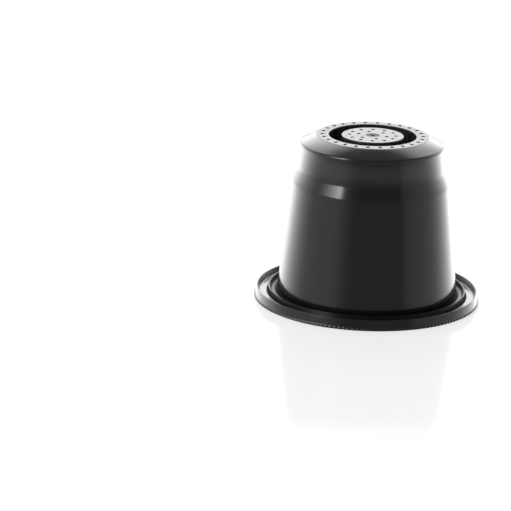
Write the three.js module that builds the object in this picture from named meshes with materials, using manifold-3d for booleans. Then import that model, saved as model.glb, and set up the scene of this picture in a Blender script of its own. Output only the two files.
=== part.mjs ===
// Coffee pod: a moulded capsule with a perforated nose, standing on its flange.
// Millimetres, +Z up. The origin is the centre of the flange's underside.
import * as THREE from "three";
import { mergeVertices } from "three/addons/utils/BufferGeometryUtils.js";
import Module from "manifold-3d";

const wasm = await Module();
wasm.setup();

// Heights, from the flange's underside up to the nose
const FLANGE_THICKNESS = 0.95;
const BODY_LENGTH = 19.5;
const STEP_LENGTH = 2.1;
const NECK_LENGTH = 4.15;
const SHOULDER_LENGTH = 1.8;
const RIB_RISE = 1.05;
const LIP_RISE = 0.95;

// Outside radii and the widths that add up to the flange
const BODY_BASE_RADIUS = 15.3;
const BODY_TOP_RADIUS = 13.15;
const NECK_RADIUS = 12.3;
const SHOULDER_RADIUS = 12.1;
const NOSE_FLAT_RADIUS = 9.3;
const MOAT_WIDTH = 0.9;
const RIB_WIDTH = 0.75;
const CHANNEL_WIDTH = 1.15;
const LIP_WIDTH = 0.95;
const FOOT_WIDTH = 1.2;

// Walls and edges
const WALL = 0.75;
const NOSE_PLATE = 0.9;
const EDGE_ROUND = 0.25;
const MOAT_ROUND = 0.4;
const SHOULDER_INSET = 0.05;
const FOOT_INSET = 0.4;
const LIP_LEAN = 0.35;
const LIP_CREST = 0.18;

// Groove round the middle disc of the nose
const DISC_RADIUS = 5.23;
const GROOVE_WIDTH = 2.12;
const GROOVE_DEPTH = 2.6;
const FLUTES = 3;
const FLUTE_RADIUS = 0.8;
const FLUTE_BITE = 0.35;
const FLUTE_TOP_DROP = 0.5;

// Perforations
const HOLE_RADIUS = 0.26;
const RING_HOLES = 26;
const RING_HOLE_CIRCLE = 8.45;
const OUTER_DISC_HOLES = 12;
const OUTER_DISC_CIRCLE = 3.9;
const INNER_DISC_HOLES = 6;
const INNER_DISC_CIRCLE = 2.44;
const NOSE_TURN = THREE.MathUtils.degToRad(26.4);

// Gripping teeth round the rim
const TEETH = 156;
const TOOTH_DEPTH = 0.2;
const TOOTH_BASE = 0.1;
const TOOTH_HEIGHT = 0.4;
const TOOTH_ROOT_LAP = 0.3;

// Foil, filter and coffee
const FOIL_THICKNESS = 0.12;
const FOIL_RECESS = 0.3;
const FOIL_MARGIN = 0.35;
const FILTER_THICKNESS = 0.4;
const FIT_GAP = 0.3;

// Facets
const AROUND = 60;
const HOLE_SIDES = 8;
const FLUTE_SIDES = 20;
const CUT_MARGIN = 0.5;

// Levels and radii worked out from the sizes above
const BODY_TOP = FLANGE_THICKNESS + BODY_LENGTH;
const NECK_BASE = BODY_TOP + STEP_LENGTH;
const NECK_TOP = NECK_BASE + NECK_LENGTH;
const POD_HEIGHT = NECK_TOP + SHOULDER_LENGTH;
const RIB_INNER_RADIUS = BODY_BASE_RADIUS + MOAT_WIDTH;
const RIB_OUTER_RADIUS = RIB_INNER_RADIUS + RIB_WIDTH;
const RIB_TOP = FLANGE_THICKNESS + RIB_RISE;
const LIP_INNER_RADIUS = RIB_OUTER_RADIUS + CHANNEL_WIDTH;
const FLANGE_RADIUS = LIP_INNER_RADIUS + LIP_WIDTH;
const ROOT_RADIUS = FLANGE_RADIUS - TOOTH_DEPTH;
const LIP_TOP = FLANGE_THICKNESS + LIP_RISE;
const TOOTH_TOP = TOOTH_BASE + TOOTH_HEIGHT;
const GROOVE_RADIUS = DISC_RADIUS + GROOVE_WIDTH;
const GROOVE_FLOOR = POD_HEIGHT - GROOVE_DEPTH;
const TROUGH_UNDERSIDE = GROOVE_FLOOR - WALL;
const FLUTE_CIRCLE = GROOVE_RADIUS + FLUTE_BITE - FLUTE_RADIUS;
const FOOT_OUTER_RADIUS = ROOT_RADIUS - FOOT_INSET;
const FOOT_INNER_RADIUS = FOOT_OUTER_RADIUS - FOOT_WIDTH;
const FOIL_RADIUS = FOOT_INNER_RADIUS - FOIL_MARGIN;
const NOSE_UNDERSIDE = POD_HEIGHT - NOSE_PLATE;
const FILTER_TOP = TROUGH_UNDERSIDE;
const COFFEE_TOP = FILTER_TOP - FILTER_THICKNESS;

const plastic = new THREE.MeshStandardMaterial({ color: 0x1b1a1b, roughness: 0.28 });
const fleece = new THREE.MeshStandardMaterial({ color: 0xe9e4d8, roughness: 0.95 });
const grounds = new THREE.MeshStandardMaterial({ color: 0x2f1b10, roughness: 1 });
const foil = new THREE.MeshStandardMaterial({ color: 0xc3c5c8, roughness: 0.35, metalness: 1 });

// Points of a quarter round between two corners, bulging towards the given corner.
function rounded(from, corner, to, steps) {
  const curve = new THREE.QuadraticBezierCurve(
    new THREE.Vector2(...from),
    new THREE.Vector2(...corner),
    new THREE.Vector2(...to),
  );
  return curve.getPoints(steps).map((point) => [point.x, point.y]);
}

// A solid of revolution about Z; the outline runs up the outside, as radius and height.
function revolve(outline) {
  const points = outline.map(([radius, height]) => new THREE.Vector2(radius, height));
  return new THREE.LatheGeometry(points, AROUND).rotateX(Math.PI / 2);
}

function toSolid(geometry) {
  const bare = new THREE.BufferGeometry();
  bare.setAttribute("position", geometry.getAttribute("position"));
  bare.setIndex(geometry.index);
  const merged = mergeVertices(bare, 1e-4);
  const corners = [];
  for (let i = 0; i < merged.index.count; i += 3) {
    const [a, b, c] = merged.index.array.slice(i, i + 3);
    if (a !== b && b !== c && c !== a) corners.push(a, b, c);
  }
  return new wasm.Manifold(
    new wasm.Mesh({
      numProp: 3,
      vertProperties: new Float32Array(merged.attributes.position.array),
      triVerts: new Uint32Array(corners),
    }),
  );
}

function toGeometry(solid) {
  const mesh = solid.getMesh();
  const geometry = new THREE.BufferGeometry();
  geometry.setAttribute("position", new THREE.BufferAttribute(mesh.vertProperties, 3));
  geometry.setIndex(new THREE.BufferAttribute(mesh.triVerts, 1));
  return geometry;
}

// The inside radius of the tapered body wall at a height.
function boreRadius(height) {
  const share = (height - FLANGE_THICKNESS) / BODY_LENGTH;
  return BODY_BASE_RADIUS + (BODY_TOP_RADIUS - BODY_BASE_RADIUS) * share - WALL;
}

function insideOutline() {
  const slopeInset = WALL / 2;
  return [
    [0, NOSE_UNDERSIDE],
    [DISC_RADIUS - WALL, NOSE_UNDERSIDE],
    [DISC_RADIUS - WALL, TROUGH_UNDERSIDE],
    [GROOVE_RADIUS + WALL, TROUGH_UNDERSIDE],
    [GROOVE_RADIUS + WALL, NOSE_UNDERSIDE],
    [NOSE_FLAT_RADIUS - slopeInset, NOSE_UNDERSIDE],
    [SHOULDER_RADIUS - WALL, NECK_TOP - slopeInset],
    [NECK_RADIUS - WALL, NECK_BASE - slopeInset],
    [boreRadius(BODY_TOP), BODY_TOP - slopeInset],
    [boreRadius(FLANGE_THICKNESS), FLANGE_THICKNESS],
    [boreRadius(FLANGE_THICKNESS), FOIL_RECESS],
  ];
}

// The foot, the toothed rim's cone up to the lip, the channel and the thin rib round the wall.
function flangeOutline() {
  const crestInner = LIP_INNER_RADIUS + LIP_LEAN;
  const crestOuter = crestInner + LIP_CREST;
  const crestRound = LIP_CREST / 2;
  const ribLean = RIB_WIDTH / 3;
  return [
    [FOOT_INNER_RADIUS, FOIL_RECESS],
    [FOOT_INNER_RADIUS, 0],
    [FOOT_OUTER_RADIUS, 0],
    [ROOT_RADIUS, TOOTH_BASE],
    [ROOT_RADIUS, TOOTH_TOP],
    ...rounded(
      [crestOuter + crestRound / 2, LIP_TOP - EDGE_ROUND],
      [crestOuter, LIP_TOP],
      [crestOuter - crestRound, LIP_TOP],
      2,
    ),
    [crestInner, LIP_TOP - crestRound],
    [LIP_INNER_RADIUS, FLANGE_THICKNESS],
    [RIB_OUTER_RADIUS, FLANGE_THICKNESS],
    [RIB_OUTER_RADIUS - ribLean, RIB_TOP],
    [RIB_INNER_RADIUS + ribLean, RIB_TOP - EDGE_ROUND / 2],
    ...rounded(
      [RIB_INNER_RADIUS, FLANGE_THICKNESS + MOAT_ROUND],
      [RIB_INNER_RADIUS, FLANGE_THICKNESS],
      [RIB_INNER_RADIUS - MOAT_ROUND, FLANGE_THICKNESS],
      3,
    ),
  ];
}

function wallOutline() {
  const taper = ((BODY_BASE_RADIUS - BODY_TOP_RADIUS) * MOAT_ROUND) / BODY_LENGTH;
  const insetRadius = SHOULDER_RADIUS - SHOULDER_INSET;
  return [
    ...rounded(
      [BODY_BASE_RADIUS + MOAT_ROUND, FLANGE_THICKNESS],
      [BODY_BASE_RADIUS, FLANGE_THICKNESS],
      [BODY_BASE_RADIUS - taper, FLANGE_THICKNESS + MOAT_ROUND],
      3,
    ),
    [BODY_TOP_RADIUS, BODY_TOP - EDGE_ROUND],
    [BODY_TOP_RADIUS - EDGE_ROUND / 2, BODY_TOP + EDGE_ROUND],
    [NECK_RADIUS + EDGE_ROUND / 2, NECK_BASE - EDGE_ROUND],
    [NECK_RADIUS, NECK_BASE + EDGE_ROUND],
    [insetRadius, NECK_TOP - EDGE_ROUND / 2],
    [SHOULDER_RADIUS, NECK_TOP],
  ];
}

// The shoulder is a shallow cone between a rounded lower edge and the flat nose.
function noseOutline() {
  const slope = SHOULDER_LENGTH / (SHOULDER_RADIUS - NOSE_FLAT_RADIUS);
  const flatEdge = EDGE_ROUND / 2;
  return [
    ...rounded(
      [SHOULDER_RADIUS, NECK_TOP + EDGE_ROUND],
      [SHOULDER_RADIUS, NECK_TOP + 2 * EDGE_ROUND],
      [SHOULDER_RADIUS - 2 * EDGE_ROUND, NECK_TOP + 3 * EDGE_ROUND],
      4,
    ),
    [NOSE_FLAT_RADIUS + flatEdge, POD_HEIGHT - (flatEdge * slope) / 2],
    [NOSE_FLAT_RADIUS, POD_HEIGHT],
    [GROOVE_RADIUS, POD_HEIGHT],
    [GROOVE_RADIUS, GROOVE_FLOOR],
    [DISC_RADIUS, GROOVE_FLOOR],
    [DISC_RADIUS, POD_HEIGHT],
    [0, POD_HEIGHT],
  ];
}

// The rim's toothed band, whose inner part is buried in the flange.
function toothedBand() {
  const outline = new THREE.Shape();
  for (let i = 0; i < TEETH * 2; i++) {
    const angle = (i * Math.PI) / TEETH;
    const radius = i % 2 === 0 ? FLANGE_RADIUS : ROOT_RADIUS;
    outline[i === 0 ? "moveTo" : "lineTo"](
      radius * Math.cos(angle),
      radius * Math.sin(angle),
    );
  }
  outline.closePath();
  const inside = new THREE.Path();
  inside.absarc(0, 0, ROOT_RADIUS - TOOTH_ROOT_LAP, 0, Math.PI * 2, true);
  outline.holes.push(inside);
  const band = new THREE.ExtrudeGeometry(outline, {
    depth: TOOTH_HEIGHT,
    bevelEnabled: false,
    curveSegments: AROUND,
  });
  return toSolid(band.translate(0, 0, TOOTH_BASE));
}

// An upright cutter at a place given by its circle and angle.
function cutter(radius, sides, circle, angle, bottom, top) {
  const pin = new THREE.CylinderGeometry(radius, radius, top - bottom, sides);
  pin.rotateX(Math.PI / 2);
  pin.translate(circle * Math.cos(angle), circle * Math.sin(angle), (bottom + top) / 2);
  return toSolid(pin);
}

// Evenly spaced holes through the nose, starting at an angle.
function holeCircle(count, circle, start) {
  const bottom = TROUGH_UNDERSIDE - CUT_MARGIN;
  const top = POD_HEIGHT + CUT_MARGIN;
  return Array.from({ length: count }, (_, i) =>
    cutter(HOLE_RADIUS, HOLE_SIDES, circle, start + (i * Math.PI * 2) / count, bottom, top),
  );
}

// Half-round flutes down the groove's outer wall, each ending at a hole in the groove's floor.
function grooveFlutes() {
  const top = POD_HEIGHT - FLUTE_TOP_DROP;
  return Array.from({ length: FLUTES }, (_, i) => {
    const angle = NOSE_TURN + (i * Math.PI * 2) / FLUTES;
    return cutter(FLUTE_RADIUS, FLUTE_SIDES, FLUTE_CIRCLE, angle, GROOVE_FLOOR, top);
  });
}

function capsuleShell() {
  const outline = [
    ...insideOutline(),
    ...flangeOutline(),
    ...wallOutline(),
    ...noseOutline(),
  ];
  const cup = toSolid(revolve(outline)).add(toothedBand());
  const cuts = [
    ...holeCircle(RING_HOLES, RING_HOLE_CIRCLE, NOSE_TURN),
    ...holeCircle(OUTER_DISC_HOLES, OUTER_DISC_CIRCLE, NOSE_TURN),
    ...holeCircle(INNER_DISC_HOLES, INNER_DISC_CIRCLE, NOSE_TURN + Math.PI / OUTER_DISC_HOLES),
    ...holeCircle(1, 0, 0),
    ...holeCircle(FLUTES, FLUTE_CIRCLE, NOSE_TURN),
    ...grooveFlutes(),
  ];
  return toGeometry(cuts.reduce((solid, cut) => solid.subtract(cut), cup));
}

// The disc of filter fleece under the nose, resting against the trough of the groove.
function inletFilter() {
  const radius = SHOULDER_RADIUS - WALL - FIT_GAP;
  return revolve([
    [0, COFFEE_TOP],
    [radius, COFFEE_TOP],
    [radius, FILTER_TOP],
    [0, FILTER_TOP],
  ]);
}

// The ground coffee, which lies on the foil and fills the cup up to the filter.
function coffeeBed() {
  const neck = SHOULDER_RADIUS - WALL - FIT_GAP;
  return revolve([
    [0, FOIL_RECESS],
    [boreRadius(FLANGE_THICKNESS) - FIT_GAP, FOIL_RECESS],
    [boreRadius(FLANGE_THICKNESS) - FIT_GAP, FLANGE_THICKNESS],
    [boreRadius(BODY_TOP) - FIT_GAP, BODY_TOP - WALL],
    [neck, NECK_BASE - WALL],
    [neck, COFFEE_TOP],
    [0, COFFEE_TOP],
  ]);
}

// The foil that closes the mouth, sealed to the flange inside its foot.
function sealingFoil() {
  return revolve([
    [0, FOIL_RECESS - FOIL_THICKNESS],
    [FOIL_RADIUS, FOIL_RECESS - FOIL_THICKNESS],
    [FOIL_RADIUS, FOIL_RECESS],
    [0, FOIL_RECESS],
  ]);
}

const pod = new THREE.Group();

function addPiece(name, geometry, material) {
  const mesh = new THREE.Mesh(geometry, material);
  mesh.name = name;
  pod.add(mesh);
}

addPiece("capsule_shell", capsuleShell(), plastic);
addPiece("inlet_filter", inletFilter(), fleece);
addPiece("coffee_bed", coffeeBed(), grounds);
addPiece("sealing_foil", sealingFoil(), foil);

export default pod;
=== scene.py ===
import math

import bmesh
import bpy
from mathutils import Matrix, Vector, noise


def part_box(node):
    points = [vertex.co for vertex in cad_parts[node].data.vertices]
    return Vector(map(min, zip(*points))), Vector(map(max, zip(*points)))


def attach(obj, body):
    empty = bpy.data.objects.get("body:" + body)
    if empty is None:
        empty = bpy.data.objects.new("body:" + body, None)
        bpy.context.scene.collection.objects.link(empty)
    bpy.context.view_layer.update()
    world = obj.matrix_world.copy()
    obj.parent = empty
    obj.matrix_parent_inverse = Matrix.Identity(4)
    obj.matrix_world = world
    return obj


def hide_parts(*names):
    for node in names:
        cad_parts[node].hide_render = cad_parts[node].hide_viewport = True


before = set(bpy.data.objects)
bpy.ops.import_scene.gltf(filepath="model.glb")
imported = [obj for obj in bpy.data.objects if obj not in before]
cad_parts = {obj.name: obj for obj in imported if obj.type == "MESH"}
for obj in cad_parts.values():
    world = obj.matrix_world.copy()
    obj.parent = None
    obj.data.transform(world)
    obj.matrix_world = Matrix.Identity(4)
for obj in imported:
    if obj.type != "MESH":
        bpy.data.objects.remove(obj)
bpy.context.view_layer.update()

MM = 0.001

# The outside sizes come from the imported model
shell_low, shell_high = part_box("capsule_shell")
FLANGE_RADIUS = shell_high.x
POD_HEIGHT = shell_high.z
foil_low, foil_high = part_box("sealing_foil")
filter_low, filter_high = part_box("inlet_filter")
coffee_low, coffee_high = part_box("coffee_bed")

# Heights of the shell
FLANGE_TOP = 0.95 * MM
RIB_TOP = 2.0 * MM
LIP_TOP = 1.9 * MM
BODY_TOP = 20.45 * MM
NECK_BASE = 22.55 * MM
NECK_TOP = 26.7 * MM
SHOULDER_BASE = 27.2 * MM
GROOVE_FLOOR = POD_HEIGHT - 2.6 * MM
NOSE_UNDERSIDE = POD_HEIGHT - 0.9 * MM

# Radii of the shell
BODY_BASE_RADIUS = 15.3 * MM
BODY_TOP_RADIUS = 13.15 * MM
NECK_RADIUS = 12.3 * MM
SHOULDER_RADIUS = 12.1 * MM
NOSE_RADIUS = 9.3 * MM
GROOVE_RADIUS = 7.35 * MM
DISC_RADIUS = 5.23 * MM
RIB_INNER_RADIUS = 16.2 * MM
RIB_OUTER_RADIUS = 16.95 * MM
LIP_INNER_RADIUS = 18.1 * MM
LIP_CREST_RADIUS = 18.6 * MM
FOOT_INNER_RADIUS = 17.25 * MM
FOOT_OUTER_RADIUS = 18.45 * MM
WALL = 0.75 * MM
CAP_RADIUS = 0.9 * MM

# Teeth round the rim
TEETH = 156
STEPS_PER_TOOTH = 4
TOOTH_SHARES = (1.0, 0.6, 0.0, 0.6)
TOOTH_DEPTH = 0.2 * MM
TOOTH_BASE = 0.1 * MM
TOOTH_TOP = 0.5 * MM
ROOT_RADIUS = FLANGE_RADIUS - TOOTH_DEPTH

# Holes, flutes and middle spot of the nose. The solids' holes have a radius of 0.26 mm
HOLE_RADIUS = 0.31 * MM
HOLE_FLARE = 0.03 * MM
HOLE_SIDES = 24
HOLE_CIRCLES = ((26, 8.45 * MM, 0.0), (12, 3.9 * MM, 0.0), (6, 2.44 * MM, 15.0))
NOSE_TURN = 26.4
FLUTES = 3
FLUTE_RADIUS = 0.8 * MM
FLUTE_CIRCLE = 6.9 * MM
FLUTE_TOP = POD_HEIGHT - 0.5 * MM
FLUTE_SIDES = 40
DIMPLE_RADIUS = 1.3 * MM
DIMPLE_DEPTH = 0.07 * MM
DIMPLE_SIDES = 72
CUT_MARGIN = 0.5 * MM

# Filter, foil and coffee
SHEET_PITCH = 0.2 * MM
SHEET_STEPS = 300
COFFEE_PITCH = 0.27 * MM
COFFEE_STEPS = 340
COFFEE_GAP = 0.3 * MM
SEAL_EDGE_RADIUS = 14.2 * MM
SEAL_RING_RADIUS = 15.9 * MM

# Rounding, shading and merging of meshes
ROUND_STEPS = 4
SHARP_ANGLE = math.radians(32)
MERGE = 1e-7


# Turning and finishing of meshes

def turned(corners, steps):
    """A solid of revolution from the corners of its outline, each a radius, a height and a rounding."""
    bm = bmesh.new()
    points = [bm.verts.new((radius, 0, height)) for radius, height, _ in corners]
    for start, end in zip(points, points[1:]):
        bm.edges.new((start, end))
    for size in sorted({rounding for _, _, rounding in corners if rounding}):
        chosen = [point for point, corner in zip(points, corners) if corner[2] == size]
        bmesh.ops.bevel(
            bm,
            geom=chosen,
            offset=size,
            offset_type="OFFSET",
            segments=ROUND_STEPS,
            profile=0.5,
            affect="VERTICES",
            material=-1,
            clamp_overlap=True,
        )
    bmesh.ops.spin(
        bm,
        geom=bm.verts[:] + bm.edges[:],
        cent=(0, 0, 0),
        axis=(0, 0, 1),
        dvec=(0, 0, 0),
        angle=math.tau,
        steps=steps,
        use_merge=True,
        use_normal_flip=False,
        use_duplicate=False,
    )
    bmesh.ops.remove_doubles(bm, verts=bm.verts, dist=MERGE)
    open_edges = [edge for edge in bm.edges if edge.is_boundary]
    if open_edges:
        bmesh.ops.holes_fill(bm, edges=open_edges, sides=0)
    bmesh.ops.recalc_face_normals(bm, faces=bm.faces)
    return bm


def finished(name, bm, material):
    """A smooth-shaded piece on the pod's one body, with its edges sharp where the surface turns hard."""
    mesh = bpy.data.meshes.new(name)
    bm.to_mesh(mesh)
    bm.free()
    piece = bpy.data.objects.new(name, mesh)
    bpy.context.scene.collection.objects.link(piece)
    dress(piece, material)
    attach(piece, "root")
    return piece


def dress(piece, material):
    """Gives a piece its material and its smooth shading."""
    mesh = piece.data
    mesh.materials.clear()
    mesh.materials.append(material)
    mesh.shade_smooth()
    mesh.set_sharp_from_angle(angle=SHARP_ANGLE)
    weighted = piece.modifiers.new("even_normals", "WEIGHTED_NORMAL")
    weighted.keep_sharp = True


def around(count, circle, start):
    """Centres of evenly spaced holes, starting at an angle in degrees."""
    for index in range(count):
        angle = math.radians(start) + index * math.tau / count
        yield Vector((circle * math.cos(angle), circle * math.sin(angle), 0))


# The shell

def shell_corners():
    """The shell's outline: down its inside, over the flange, up the cup and in over the nose."""
    inside = [
        (DISC_RADIUS - WALL - 0.02 * MM, NOSE_UNDERSIDE, 0),
        (DISC_RADIUS - WALL, NOSE_UNDERSIDE, 0),
        (DISC_RADIUS - WALL, GROOVE_FLOOR - WALL, 0),
        (GROOVE_RADIUS + WALL, GROOVE_FLOOR - WALL, 0),
        (GROOVE_RADIUS + WALL, NOSE_UNDERSIDE, 0),
        (NOSE_RADIUS - WALL / 2, NOSE_UNDERSIDE, 0),
        (SHOULDER_RADIUS - WALL, NECK_TOP - WALL / 2, 0),
        (NECK_RADIUS - WALL, NECK_BASE - WALL / 2, 0),
        (BODY_TOP_RADIUS - WALL, BODY_TOP - WALL / 2, 0),
        (BODY_BASE_RADIUS - WALL, FLANGE_TOP, 0),
        (BODY_BASE_RADIUS - WALL, foil_high.z, 0),
    ]
    flange = [
        (FOOT_INNER_RADIUS, foil_high.z, 0),
        (FOOT_INNER_RADIUS, 0, 0.08 * MM),
        (FOOT_OUTER_RADIUS, 0, 0.08 * MM),
        (FLANGE_RADIUS - 0.05 * MM, TOOTH_BASE, 0),
        (FLANGE_RADIUS, TOOTH_BASE + 0.06 * MM, 0),
        (FLANGE_RADIUS, TOOTH_TOP - 0.1 * MM, 0),
        (ROOT_RADIUS, TOOTH_TOP, 0),
        (ROOT_RADIUS - 0.01 * MM, TOOTH_TOP + 0.04 * MM, 0),
        (LIP_INNER_RADIUS + 0.53 * MM, LIP_TOP, 0.06 * MM),
        (LIP_INNER_RADIUS + 0.36 * MM, LIP_TOP - 0.07 * MM, 0.05 * MM),
        (LIP_INNER_RADIUS, FLANGE_TOP, 0.1 * MM),
        (RIB_OUTER_RADIUS, FLANGE_TOP, 0.1 * MM),
        (RIB_OUTER_RADIUS - 0.25 * MM, RIB_TOP, 0.04 * MM),
        (RIB_INNER_RADIUS + 0.25 * MM, RIB_TOP - 0.12 * MM, 0.04 * MM),
        (RIB_INNER_RADIUS, FLANGE_TOP, 0.38 * MM),
    ]
    cup = [
        (BODY_BASE_RADIUS, FLANGE_TOP, 0.38 * MM),
        (BODY_TOP_RADIUS, BODY_TOP, 0.3 * MM),
        (NECK_RADIUS, NECK_BASE, 0.35 * MM),
        (SHOULDER_RADIUS - 0.05 * MM, NECK_TOP - 0.12 * MM, 0),
        (SHOULDER_RADIUS, NECK_TOP, 0),
        (SHOULDER_RADIUS, SHOULDER_BASE, 0.3 * MM),
        (NOSE_RADIUS, POD_HEIGHT, 0.1 * MM),
    ]
    nose = [
        (GROOVE_RADIUS, POD_HEIGHT, 0.1 * MM),
        (GROOVE_RADIUS, GROOVE_FLOOR, 0.3 * MM),
        (DISC_RADIUS, GROOVE_FLOOR, 0.3 * MM),
        (DISC_RADIUS, POD_HEIGHT, 0.15 * MM),
        (DISC_RADIUS - 0.2 * MM, POD_HEIGHT, 0),
    ]
    return inside + flange + cup + nose


def cut_teeth(bm):
    """Draws the rim's band in towards its root between the teeth."""
    steps = TEETH * STEPS_PER_TOOTH
    for vert in bm.verts:
        radius = math.hypot(vert.co.x, vert.co.y)
        if radius > ROOT_RADIUS + MERGE and vert.co.z < TOOTH_TOP:
            step = round(math.atan2(vert.co.y, vert.co.x) / math.tau * steps)
            share = TOOTH_SHARES[step % STEPS_PER_TOOTH]
            drawn = ROOT_RADIUS + (radius - ROOT_RADIUS) * share
            vert.co.x *= drawn / radius
            vert.co.y *= drawn / radius


def hole_pin(top):
    """A cutter for one perforation, flared where it meets the surface at its top."""
    bottom = GROOVE_FLOOR - WALL - CUT_MARGIN
    return turned(
        [
            (0, bottom, 0),
            (HOLE_RADIUS, bottom, 0),
            (HOLE_RADIUS, top - HOLE_FLARE, 0),
            (HOLE_RADIUS + HOLE_FLARE, top, 0),
            (HOLE_RADIUS + HOLE_FLARE, top + CUT_MARGIN / 2, 0),
            (0, top + CUT_MARGIN / 2, 0),
        ],
        HOLE_SIDES,
    )


def dimple_pin():
    """A cutter for the shallow dished spot round the middle hole, where the plastic was injected."""
    return turned(
        [
            (0, POD_HEIGHT - DIMPLE_DEPTH, 0),
            (0.75 * MM, POD_HEIGHT - 0.055 * MM, 0),
            (1.1 * MM, POD_HEIGHT - 0.02 * MM, 0),
            (DIMPLE_RADIUS, POD_HEIGHT + 0.01 * MM, 0),
            (DIMPLE_RADIUS, POD_HEIGHT + CUT_MARGIN, 0),
            (0, POD_HEIGHT + CUT_MARGIN, 0),
        ],
        DIMPLE_SIDES,
    )


def flute_pin():
    """A cutter for one half-round flute in the groove's outer wall."""
    bottom = GROOVE_FLOOR + 0.02 * MM
    return turned(
        [
            (0, bottom, 0),
            (FLUTE_RADIUS, bottom, 0.1 * MM),
            (FLUTE_RADIUS, FLUTE_TOP, 0.15 * MM),
            (0, FLUTE_TOP, 0),
        ],
        FLUTE_SIDES,
    )


def scattered(pin, places):
    """A mesh of copies of a cutter at the given places."""
    source = bpy.data.meshes.new("pin")
    pin.to_mesh(source)
    pin.free()
    bm = bmesh.new()
    for place in places:
        before = len(bm.verts)
        bm.from_mesh(source)
        bm.verts.ensure_lookup_table()
        bmesh.ops.translate(bm, verts=bm.verts[before:], vec=place)
    bpy.data.meshes.remove(source)
    return bm


def cut(piece, cutter):
    """Takes a cutter away from a piece, for good."""
    mesh = bpy.data.meshes.new("cutter")
    cutter.to_mesh(mesh)
    cutter.free()
    tool = bpy.data.objects.new("cutter", mesh)
    bpy.context.scene.collection.objects.link(tool)
    taking = piece.modifiers.new("cut", "BOOLEAN")
    taking.operation = "DIFFERENCE"
    taking.solver = "MANIFOLD"
    taking.object = tool
    graph = bpy.context.evaluated_depsgraph_get()
    result = bpy.data.meshes.new_from_object(piece.evaluated_get(graph))
    piece.modifiers.clear()
    old = piece.data
    piece.data = result
    bpy.data.meshes.remove(old)
    bpy.data.objects.remove(tool)
    bpy.data.meshes.remove(mesh)


def make_shell(material):
    bm = turned(shell_corners(), TEETH * STEPS_PER_TOOTH)
    cut_teeth(bm)
    shell = finished("moulded_shell", bm, material)
    cut(shell, dimple_pin())
    places = [Vector((0, 0, 0))]
    for count, circle, start in HOLE_CIRCLES:
        places += around(count, circle, NOSE_TURN + start)
    cut(shell, scattered(hole_pin(POD_HEIGHT), places))
    flutes = list(around(FLUTES, FLUTE_CIRCLE, NOSE_TURN))
    cut(shell, scattered(flute_pin(), flutes))
    cut(shell, scattered(hole_pin(GROOVE_FLOOR + 0.02 * MM), flutes))
    dress(shell, material)
    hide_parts("capsule_shell")


# The pieces inside

def close_set(corners, pitch):
    """Adds corners along each straight run, about a pitch apart."""
    result = corners[:1]
    for start, end in zip(corners, corners[1:]):
        count = max(1, round(math.dist(start[:2], end[:2]) / pitch))
        for index in range(1, count):
            share = index / count
            radius = start[0] + (end[0] - start[0]) * share
            height = start[1] + (end[1] - start[1]) * share
            result.append((radius, height, 0))
        result.append(end)
    return result


def roughened(bm, depth, scale):
    """Sinks a surface unevenly by up to a depth, so that it never grows past its outline."""
    bm.normal_update()
    for vert in bm.verts:
        coarse = noise.noise(vert.co * scale)
        fine = noise.noise(vert.co * scale * 2.3)
        share = 0.5 + 0.35 * coarse + 0.35 * fine
        vert.co -= vert.normal * depth * min(max(share, 0), 1)
    bmesh.ops.recalc_face_normals(bm, faces=bm.faces)
    return bm


def make_filter(material):
    low, high, radius = filter_low.z, filter_high.z, filter_high.x
    corners = [(CAP_RADIUS, low, 0), (radius, low, 0), (radius, high, 0), (CAP_RADIUS, high, 0)]
    bm = turned(close_set(corners, SHEET_PITCH), SHEET_STEPS)
    bm = roughened(bm, 0.05 * MM, 2600)
    piece = finished("filter_fleece", bm, material)
    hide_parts("inlet_filter")


def make_coffee(material):
    low, high = coffee_low.z, coffee_high.z
    corners = [
        (CAP_RADIUS, low, 0),
        (coffee_high.x, low, 0),
        (coffee_high.x, FLANGE_TOP, 0),
        (BODY_TOP_RADIUS - WALL - COFFEE_GAP, BODY_TOP - WALL, 0),
        (SHOULDER_RADIUS - WALL - COFFEE_GAP, NECK_BASE - WALL, 0),
        (SHOULDER_RADIUS - WALL - COFFEE_GAP, high, 0),
        (CAP_RADIUS, high, 0),
    ]
    bm = turned(close_set(corners, COFFEE_PITCH), COFFEE_STEPS)
    bm = roughened(bm, 0.3 * MM, 1300)
    piece = finished("ground_coffee", bm, material)
    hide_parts("coffee_bed")


def foil_lift(place):
    """The share of its slack by which the foil is raised: full at the seal, uneven over the mouth."""
    radius = math.hypot(place.x, place.y)
    sealed = min(max((radius - SEAL_EDGE_RADIUS) / (0.5 * MM), 0), 1)
    pressed = max(0, 1 - abs(radius - SEAL_RING_RADIUS) / (0.25 * MM))
    spot = Vector((place.x, place.y, 0))
    slack = 0.5 + 0.4 * noise.noise(spot * 180) + 0.15 * noise.noise(spot * 520)
    return sealed * (1 - 0.5 * pressed) + (1 - sealed) * min(max(slack, 0), 1)


def make_foil(material):
    low, high, radius = foil_low.z, foil_high.z, foil_high.x
    half = (high - low) / 2
    corners = [(CAP_RADIUS, low, 0), (radius, low, 0)]
    corners += [(radius, low + half, 0), (CAP_RADIUS, low + half, 0)]
    bm = turned(close_set(corners, SHEET_PITCH), SHEET_STEPS)
    for vert in bm.verts:
        vert.co.z += half * foil_lift(vert.co)
    bmesh.ops.recalc_face_normals(bm, faces=bm.faces)
    piece = finished("lidding_foil", bm, material)
    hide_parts("sealing_foil")


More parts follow.
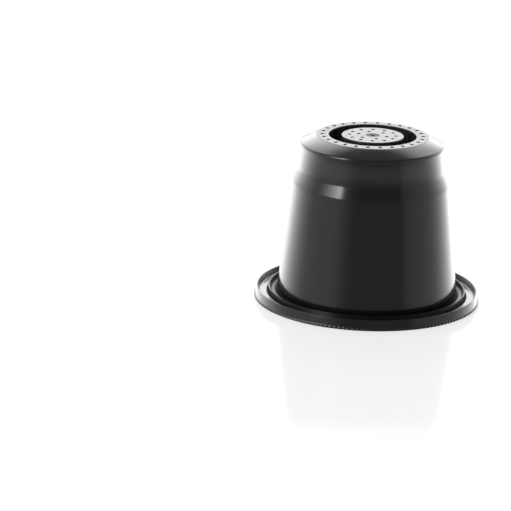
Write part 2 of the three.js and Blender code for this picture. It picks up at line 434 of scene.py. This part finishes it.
# Materials, each mixed from two shades
PLASTIC_SHADES = ((0.0040, 0.0036, 0.0038, 1), (0.0054, 0.0047, 0.0050, 1))
# Painted light: the groove's lighter colour stands in for the reflections seen in it
GROOVE_PAINTED_LIGHT = (0.022, 0.019, 0.018, 1)
FLEECE_SHADES = ((0.68, 0.63, 0.53, 1), (0.88, 0.85, 0.77, 1))
# The coffee's darker shade is painted shade, for the gaps between grains
COFFEE_TONE_AND_PAINTED_SHADE = ((0.075, 0.036, 0.018, 1), (0.018, 0.008, 0.004, 1))
FOIL_SHADES = ((0.56, 0.56, 0.57, 1), (0.68, 0.68, 0.69, 1))
DULLED_ROUGHNESS = 0.15
DULLED_SPECULAR = 0.12


class Nodes:
    """Adds linked nodes to a material's or a world's tree."""

    def __init__(self, owner):
        owner.use_nodes = True
        self.tree = owner.node_tree
        self.tree.nodes.clear()

    def add(self, kind, settings=None, **inputs):
        node = self.tree.nodes.new(kind)
        for key, value in (settings or {}).items():
            setattr(node, key, value)
        for key, value in inputs.items():
            self.feed(node.inputs[key.replace("_", " ")], value)
        return node

    def feed(self, socket, value):
        if isinstance(value, bpy.types.NodeSocket):
            self.tree.links.new(value, socket)
        else:
            socket.default_value = value

    def math(self, operation, *values):
        node = self.tree.nodes.new("ShaderNodeMath")
        node.operation = operation
        for socket, value in zip(node.inputs, values):
            self.feed(socket, value)
        return node.outputs[0]

    def span(self, value, start, end, low=0.0, high=1.0, kind="SMOOTHSTEP"):
        """Runs from low to high while the value goes from start to end."""
        node = self.tree.nodes.new("ShaderNodeMapRange")
        node.interpolation_type = kind
        node.clamp = True
        for socket, number in zip(node.inputs, (value, start, end, low, high)):
            self.feed(socket, number)
        return node.outputs["Result"]

    def mix(self, share, first, second):
        node = self.tree.nodes.new("ShaderNodeMix")
        node.data_type = "RGBA"
        self.feed(node.inputs["Factor"], share)
        self.feed(node.inputs[6], first)
        self.feed(node.inputs[7], second)
        return node.outputs[2]

    def noise(self, vector, scale, detail=2.0, roughness=0.5):
        node = self.add(
            "ShaderNodeTexNoise",
            Vector=vector,
            Scale=scale,
            Detail=detail,
            Roughness=roughness,
        )
        return node.outputs["Fac"]


def shell_plastic():
    """Black polypropylene: polished all over, finely spark-eroded on the flat nose."""
    material = bpy.data.materials.new("shell_plastic")
    nodes = Nodes(material)
    place = nodes.add("ShaderNodeTexCoord").outputs["Object"]
    split = nodes.add("ShaderNodeSeparateXYZ", Vector=place)
    height = split.outputs["Z"]
    across = nodes.math("MULTIPLY", split.outputs["X"], split.outputs["X"])
    along = nodes.math("MULTIPLY", split.outputs["Y"], split.outputs["Y"])
    radius = nodes.math("SQRT", nodes.math("ADD", across, along))
    eroded = nodes.span(height, POD_HEIGHT - 0.12 * MM, POD_HEIGHT - 0.08 * MM)
    spot = nodes.span(radius, DIMPLE_RADIUS + 0.05 * MM, DIMPLE_RADIUS - 0.3 * MM)
    dimple = nodes.math("MULTIPLY", eroded, spot)

    # The moat, the rib and the lip's inner face are duller, to look like the photograph
    low_down = nodes.span(height, RIB_TOP + 0.6 * MM, RIB_TOP + 0.3 * MM)
    within = nodes.span(radius, RIB_OUTER_RADIUS + 0.05 * MM, RIB_OUTER_RADIUS - 0.02 * MM)
    moat = nodes.math("MULTIPLY", within, low_down)
    lip = nodes.math(
        "MULTIPLY",
        nodes.span(height, FLANGE_TOP + 0.03 * MM, FLANGE_TOP + 0.1 * MM),
        nodes.span(radius, LIP_INNER_RADIUS - 0.05 * MM, LIP_INNER_RADIUS),
    )
    lip_end = nodes.span(radius, LIP_CREST_RADIUS, LIP_CREST_RADIUS - 0.03 * MM)
    lip = nodes.math("MULTIPLY", lip, lip_end)
    dull = nodes.math("MAXIMUM", moat, nodes.math("MULTIPLY", lip, 0.85))

    # The groove's colour is painted lighter, for the same reason: painted light for the reflections in
    # the groove
    groove_painted_light = nodes.math(
        "MULTIPLY",
        nodes.span(height, GROOVE_FLOOR - 0.3 * MM, GROOVE_FLOOR - 0.1 * MM),
        nodes.span(radius, GROOVE_RADIUS + 0.5 * MM, GROOVE_RADIUS + 0.4 * MM),
    )
    groove_painted_light = nodes.math("MULTIPLY", groove_painted_light, nodes.math("SUBTRACT", 1.0, eroded))

    cloud = nodes.noise(place, 140.0, 3.0)
    colour = nodes.mix(cloud, *PLASTIC_SHADES)
    colour = nodes.mix(groove_painted_light, colour, GROOVE_PAINTED_LIGHT)
    polish = nodes.span(nodes.noise(place, 900.0, 4.0, 0.6), 0.3, 0.7, 0.13, 0.18)
    grit = nodes.noise(place, 6500.0, 3.0, 0.65)
    matt = nodes.math("ADD", nodes.span(grit, 0.3, 0.7, 0.28, 0.40), nodes.math("MULTIPLY", dimple, 0.3))
    roughness = nodes.math(
        "ADD",
        nodes.math("MULTIPLY", polish, nodes.math("SUBTRACT", 1.0, eroded)),
        nodes.math("MULTIPLY", matt, eroded),
    )
    roughness = nodes.math("ADD", roughness, nodes.math("MULTIPLY", dull, DULLED_ROUGHNESS))
    shine = nodes.span(dull, 0.0, 1.0, 0.5, DULLED_SPECULAR, "LINEAR")
    peel = nodes.add(
        "ShaderNodeBump",
        Strength=0.15,
        Distance=0.002 * MM,
        Height=nodes.noise(place, 700.0, 2.0),
    )
    erosion = nodes.add(
        "ShaderNodeBump",
        Strength=nodes.math("MULTIPLY", eroded, 0.7),
        Distance=0.02 * MM,
        Height=grit,
        Normal=peel.outputs["Normal"],
    )
    shader = nodes.add(
        "ShaderNodeBsdfPrincipled",
        Base_Color=colour,
        Roughness=roughness,
        IOR=1.49,
        Specular_IOR_Level=shine,
        Normal=erosion.outputs["Normal"],
    )
    nodes.add("ShaderNodeOutputMaterial", Surface=shader.outputs["BSDF"])
    return material


def filter_fleece():
    material = bpy.data.materials.new("filter_fleece")
    nodes = Nodes(material)
    place = nodes.add("ShaderNodeTexCoord").outputs["Object"]
    fibres = nodes.noise(place, 9000.0, 6.0, 0.7)
    colour = nodes.mix(fibres, *FLEECE_SHADES)
    bump = nodes.add("ShaderNodeBump", Strength=0.8, Distance=0.05 * MM, Height=fibres)
    shader = nodes.add(
        "ShaderNodeBsdfPrincipled", Base_Color=colour, Roughness=0.95, Normal=bump.outputs["Normal"]
    )
    nodes.add("ShaderNodeOutputMaterial", Surface=shader.outputs["BSDF"])
    return material


def ground_coffee():
    material = bpy.data.materials.new("ground_coffee")
    nodes = Nodes(material)
    place = nodes.add("ShaderNodeTexCoord").outputs["Object"]
    grains = nodes.add("ShaderNodeTexVoronoi", Vector=place, Scale=2200.0)
    # Painted shade: each grain is darker towards its edges and the low gaps between grains
    shade = nodes.span(grains.outputs["Distance"], 0.0, 0.9)
    colour = nodes.mix(shade, *COFFEE_TONE_AND_PAINTED_SHADE)
    bump = nodes.add(
        "ShaderNodeBump", Strength=1.0, Distance=0.15 * MM, Height=nodes.math("SUBTRACT", 1.0, shade)
    )
    shader = nodes.add(
        "ShaderNodeBsdfPrincipled", Base_Color=colour, Roughness=0.85, Normal=bump.outputs["Normal"]
    )
    nodes.add("ShaderNodeOutputMaterial", Surface=shader.outputs["BSDF"])
    return material


def lidding_foil():
    material = bpy.data.materials.new("foil")
    nodes = Nodes(material)
    place = nodes.add("ShaderNodeTexCoord").outputs["Object"]
    drawn = nodes.add("ShaderNodeMapping", Vector=place, Scale=(60.0, 2500.0, 60.0)).outputs[0]
    lines = nodes.noise(drawn, 1.0, 4.0, 0.6)
    colour = nodes.mix(lines, *FOIL_SHADES)
    roughness = nodes.span(lines, 0.3, 0.7, 0.26, 0.38)
    bump = nodes.add("ShaderNodeBump", Strength=0.3, Distance=0.004 * MM, Height=lines)
    shader = nodes.add(
        "ShaderNodeBsdfPrincipled",
        Base_Color=colour,
        Metallic=1.0,
        Roughness=roughness,
        Normal=bump.outputs["Normal"],
    )
    nodes.add("ShaderNodeOutputMaterial", Surface=shader.outputs["BSDF"])
    return material


# The studio

FLOOR_RADIUS = 74 * MM
FLOOR_FADE = 60 * MM
FLOOR_DROP = 0.02 * MM
FLOOR_MATT = (0.16, 0.16, 0.16, 1)
FLOOR_GLOSS = (0.04, 0.04, 0.04, 1)
FLOOR_GLOW = 0.72
WHITE = (1, 1, 1, 1)
BASE_LIGHT = 0.19
OVERHEAD_LIGHT = 0.42
SOFTBOX_LIGHT = 10.5
LENS = 220.7
CAMERA_PLACE = (-30.27 * MM, -508.05 * MM, 157.05 * MM)
CAMERA_DOWN, CAMERA_ASIDE, CAMERA_ROLL = (math.radians(angle) for angle in (16.45, 1.27, 1.73))


def studio_floor():
    """A white glossy sheet that fades out into the white surroundings.

    It is clear from below, and to every ray but the camera's own, so it doesn't light the pod.
    """
    material = bpy.data.materials.new("floor")
    nodes = Nodes(material)
    place = nodes.add("ShaderNodeTexCoord").outputs["Object"]
    reach = nodes.add("ShaderNodeVectorMath", {"operation": "LENGTH"}, Vector=place).outputs["Value"]
    seen = nodes.add("ShaderNodeLightPath").outputs["Is Camera Ray"]
    matt = nodes.add("ShaderNodeBsdfDiffuse", Color=FLOOR_MATT)
    glow = nodes.add("ShaderNodeEmission", Color=WHITE, Strength=FLOOR_GLOW)
    gloss = nodes.add("ShaderNodeBsdfGlossy", Color=FLOOR_GLOSS, Roughness=0.04)
    lit = nodes.add("ShaderNodeAddShader")
    nodes.feed(lit.inputs[0], matt.outputs["BSDF"])
    nodes.feed(lit.inputs[1], glow.outputs["Emission"])
    sheet = nodes.add("ShaderNodeAddShader")
    nodes.feed(sheet.inputs[0], lit.outputs["Shader"])
    nodes.feed(sheet.inputs[1], gloss.outputs["BSDF"])
    clear = nodes.add("ShaderNodeBsdfTransparent")
    back = nodes.add("ShaderNodeNewGeometry").outputs["Backfacing"]
    unseen = nodes.math("MAXIMUM", back, nodes.math("SUBTRACT", 1.0, seen))
    fade = nodes.math("MAXIMUM", unseen, nodes.span(reach, FLOOR_FADE, FLOOR_RADIUS))
    mixed = nodes.add("ShaderNodeMixShader")
    nodes.feed(mixed.inputs[0], fade)
    nodes.feed(mixed.inputs[1], sheet.outputs["Shader"])
    nodes.feed(mixed.inputs[2], clear.outputs["BSDF"])
    nodes.add("ShaderNodeOutputMaterial", Surface=mixed.outputs["Shader"])

    bm = bmesh.new()
    bmesh.ops.create_circle(
        bm,
        cap_ends=True,
        segments=96,
        radius=FLOOR_RADIUS,
        matrix=Matrix.Translation((0, 0, -FLOOR_DROP)),
    )
    mesh = bpy.data.meshes.new("floor")
    bm.to_mesh(mesh)
    bm.free()
    mesh.materials.append(material)
    floor = bpy.data.objects.new("floor", mesh)
    bpy.context.scene.collection.objects.link(floor)


def studio_light():
    """Light by direction: a dark gap in front, grey screens at the sides and a bright backdrop behind."""
    world = bpy.data.worlds.new("studio")
    bpy.context.scene.world = world
    nodes = Nodes(world)
    way = nodes.add("ShaderNodeTexCoord").outputs["Generated"]
    split = nodes.add("ShaderNodeSeparateXYZ", Vector=way)
    ahead = nodes.math("MULTIPLY", split.outputs["Y"], -1.0)
    turn = nodes.math("DEGREES", nodes.math("ARCTAN2", split.outputs["X"], ahead))
    rise = nodes.math("DEGREES", nodes.math("ARCSINE", split.outputs["Z"]))
    away = nodes.math("ABSOLUTE", turn)

    # Turns are degrees from the camera's side, positive to the right; rises are above the horizon
    left = nodes.span(turn, -22.0, -55.0, 0.0, 0.6)
    right_edge = nodes.span(turn, 43.0, 49.0, 0.0, 0.26)
    right = nodes.span(turn, 49.0, 92.0, 0.0, 0.34, "LINEAR")
    back = nodes.span(away, 88.0, 148.0, 0.0, 2.3)
    back = nodes.math("MULTIPLY", back, nodes.span(away, 172.0, 146.0, 0.35, 1.0))
    backdrop = nodes.span(away, 150.0, 164.0, 0.0, 2.3)
    backdrop = nodes.math("MULTIPLY", backdrop, nodes.span(rise, 2.0, 8.0))
    below = nodes.span(rise, -5.0, -15.0, 0.0, 0.35)
    front = nodes.span(rise, 30.0, 12.0, 0.0, 0.13)
    round_about = BASE_LIGHT
    for part in (left, right_edge, right, back, backdrop, below, front):
        round_about = nodes.math("ADD", round_about, part)
    high = nodes.math("MULTIPLY", nodes.span(rise, 24.0, 44.0), nodes.span(away, 135.0, 85.0))
    high = nodes.math("MAXIMUM", high, nodes.span(rise, 44.0, 62.0))
    low = nodes.math("SUBTRACT", 1.0, high)
    overhead = nodes.math("MULTIPLY", high, OVERHEAD_LIGHT)
    dome = nodes.math("ADD", nodes.math("MULTIPLY", round_about, low), overhead)

    # Far below the horizon only a low, even light is left
    dome = nodes.math("MULTIPLY", dome, nodes.span(rise, -38.0, -22.0, 0.12, 1.0))
    dome = nodes.math("ADD", dome, nodes.span(rise, -22.0, -38.0, 0.0, 0.2))

    # The softbox at the left, which makes the bright patch on the wall
    glow = nodes.span(turn, -92.0, -48.0, 0.0, 1.0, "LINEAR")
    glow = nodes.math("POWER", glow, 2.0)
    edge = nodes.span(turn, -46.0, -50.0, 0.0, 1.0)
    bottom = nodes.span(rise, 12.0, 15.0)
    top = nodes.span(rise, 48.0, 45.0)
    box = SOFTBOX_LIGHT
    for part in (glow, edge, bottom, top):
        box = nodes.math("MULTIPLY", box, part)
    strength = nodes.math("ADD", dome, box)

    seen = nodes.add("ShaderNodeLightPath").outputs["Is Camera Ray"]
    light = nodes.add("ShaderNodeBackground", Color=WHITE, Strength=strength)
    white = nodes.add("ShaderNodeBackground", Color=WHITE, Strength=1.02)
    mixed = nodes.add("ShaderNodeMixShader")
    nodes.feed(mixed.inputs[0], seen)
    nodes.feed(mixed.inputs[1], light.outputs["Background"])
    nodes.feed(mixed.inputs[2], white.outputs["Background"])
    nodes.add("ShaderNodeOutputWorld", Surface=mixed.outputs["Shader"])


def studio_camera():
    """A long lens that looks down on the pod, which stands right of the middle as in the photograph."""
    data = bpy.data.cameras.new("camera")
    data.sensor_width = 36
    data.lens = LENS
    data.clip_start = 10 * MM
    data.clip_end = 10
    camera = bpy.data.objects.new("camera", data)
    bpy.context.scene.collection.objects.link(camera)
    turn = Matrix.Rotation(-CAMERA_ASIDE, 4, "Z")
    turn = turn @ Matrix.Rotation(math.pi / 2 - CAMERA_DOWN, 4, "X")
    turn = turn @ Matrix.Rotation(CAMERA_ROLL, 4, "Z")
    camera.matrix_world = Matrix.Translation(CAMERA_PLACE) @ turn
    bpy.context.scene.camera = camera


make_shell(shell_plastic())
make_filter(filter_fleece())
make_coffee(ground_coffee())
make_foil(lidding_foil())
studio_floor()
studio_light()
studio_camera()
bpy.context.scene.view_settings.view_transform = "Standard"
